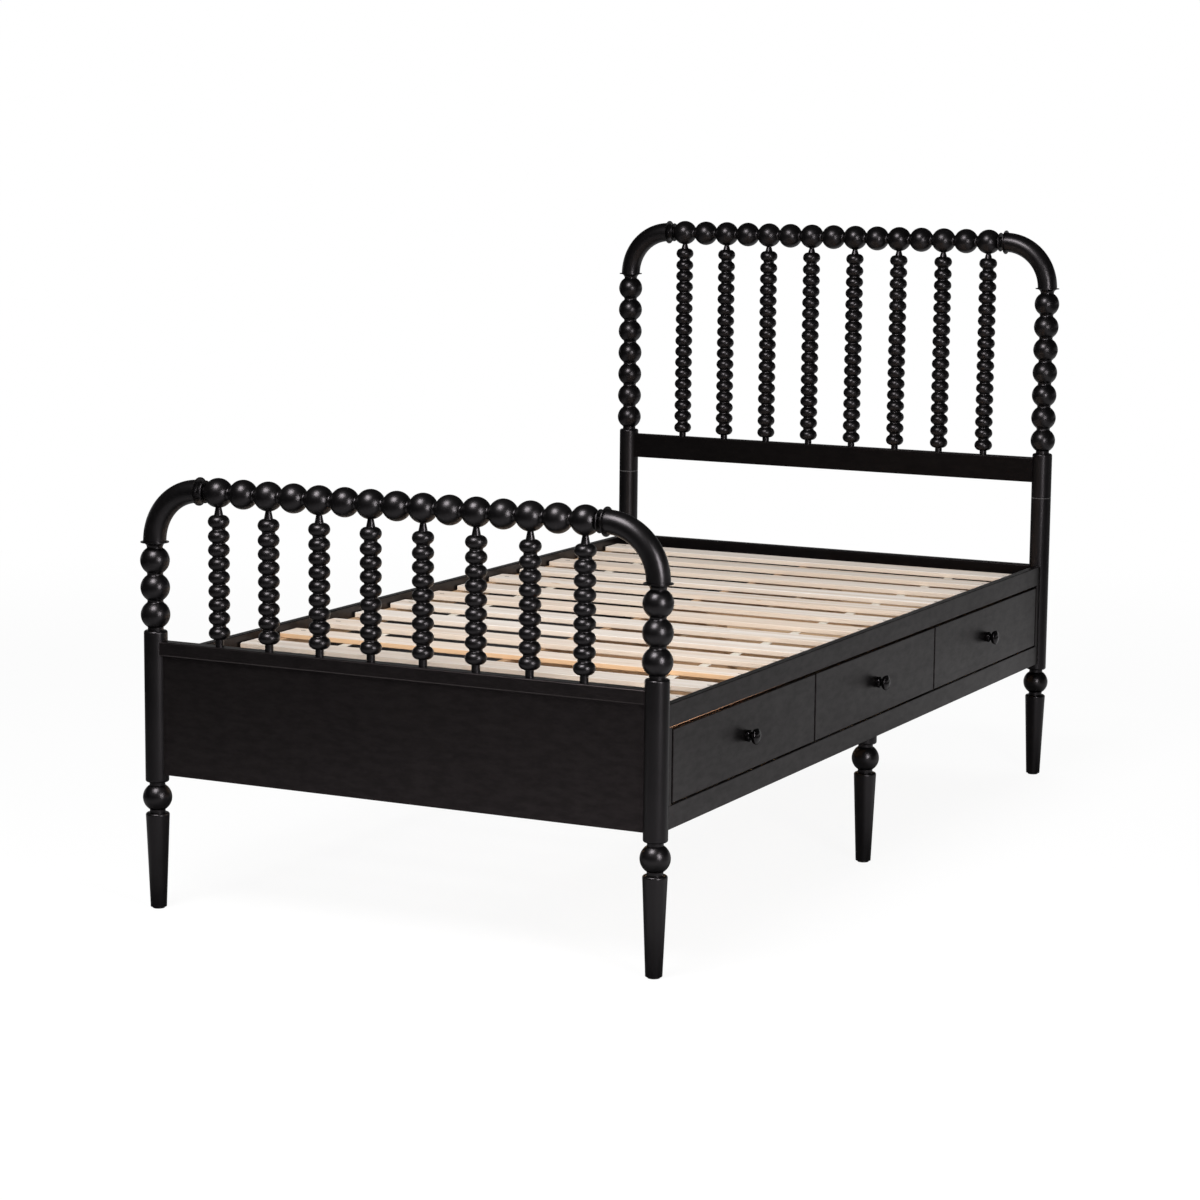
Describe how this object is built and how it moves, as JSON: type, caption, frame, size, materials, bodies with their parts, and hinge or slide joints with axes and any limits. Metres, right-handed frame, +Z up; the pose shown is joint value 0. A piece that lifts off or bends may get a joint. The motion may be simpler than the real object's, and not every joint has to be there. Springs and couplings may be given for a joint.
{
  "type": "platform bed",
  "caption": "Single platform bed with turned spool head and foot ends, a slatted deck and drawers that slide out along one side.",
  "frame": {"origin": "on the floor in the middle of the four corner posts", "axes": "+X towards the drawer side, +Y from the foot end to the head end, +Z up"},
  "size_m": [1.083, 2.014, 1.2126],
  "materials": {
    "black_lacquer": "satin black lacquer on turned wood",
    "black_boards": "satin black stain over grained boards",
    "slat_wood": "raw pale softwood",
    "strap_webbing": "woven webbing",
    "frame_wood": "raw planed softwood",
    "drawer_wood": "raw plywood and solid sides",
    "runner_steel": "zinc-plated sheet steel",
    "glide_plastic": "moulded black"
  },
  "bodies": {
    "bed_frame": {"centre_board": "frame_wood", "drawer_dividers": "frame_wood", "drawer_runners": "runner_steel", "end_stile_foot": "black_boards", "end_stile_head": "black_boards", "floor_glides": "glide_plastic", "foot_ball_rail": "black_lacquer", "foot_elbow_left": "black_lacquer", "foot_elbow_right": "black_lacquer", "foot_panel": "black_boards", "foot_post_left": "black_lacquer", "foot_post_right": "black_lacquer", "foot_rail": "black_boards", "foot_spindles_left": "black_lacquer", "foot_spindles_right": "black_lacquer", "head_ball_rail": "black_lacquer", "head_elbow_left": "black_lacquer", "head_elbow_right": "black_lacquer", "head_leg_left": "black_lacquer", "head_leg_right": "black_lacquer", "head_panel": "black_boards", "head_post_left": "black_lacquer", "head_post_right": "black_lacquer", "head_rail": "black_boards", "head_spindles_left": "black_lacquer", "head_spindles_right": "black_lacquer", "joint_dowels": "frame_wood", "leg_block": "frame_wood", "leg_bolt": "runner_steel", "mid_leg": "black_lacquer", "rail_hook_plates": "runner_steel", "side_bottom_rail": "black_boards", "side_panel_left": "black_boards", "side_top_rail": "black_boards", "slat_ledge_left": "frame_wood", "slat_ledge_right": "frame_wood", "slat_strap_left": "strap_webbing", "slat_strap_right": "strap_webbing", "slats": "slat_wood"},
    "drawer_1": {"drawer_1_back": "drawer_wood", "drawer_1_bottom": "drawer_wood", "drawer_1_front": "black_boards", "drawer_1_knob": "black_lacquer", "drawer_1_sides": "drawer_wood", "drawer_1_slides": "runner_steel"},
    "drawer_2": {"drawer_2_back": "drawer_wood", "drawer_2_bottom": "drawer_wood", "drawer_2_front": "black_boards", "drawer_2_knob": "black_lacquer", "drawer_2_sides": "drawer_wood", "drawer_2_slides": "runner_steel"},
    "drawer_3": {"drawer_3_back": "drawer_wood", "drawer_3_bottom": "drawer_wood", "drawer_3_front": "black_boards", "drawer_3_knob": "black_lacquer", "drawer_3_sides": "drawer_wood", "drawer_3_slides": "runner_steel"}
  },
  "joints": [
    {"name": "drawer_1_slide", "type": "slide", "parent": "bed_frame", "child": "drawer_1", "axis": [1, 0, 0], "range_m": [0, 0.3]},
    {"name": "drawer_2_slide", "type": "slide", "parent": "bed_frame", "child": "drawer_2", "axis": [1, 0, 0], "range_m": [0, 0.3]},
    {"name": "drawer_3_slide", "type": "slide", "parent": "bed_frame", "child": "drawer_3", "axis": [1, 0, 0], "range_m": [0, 0.3]}
  ]
}
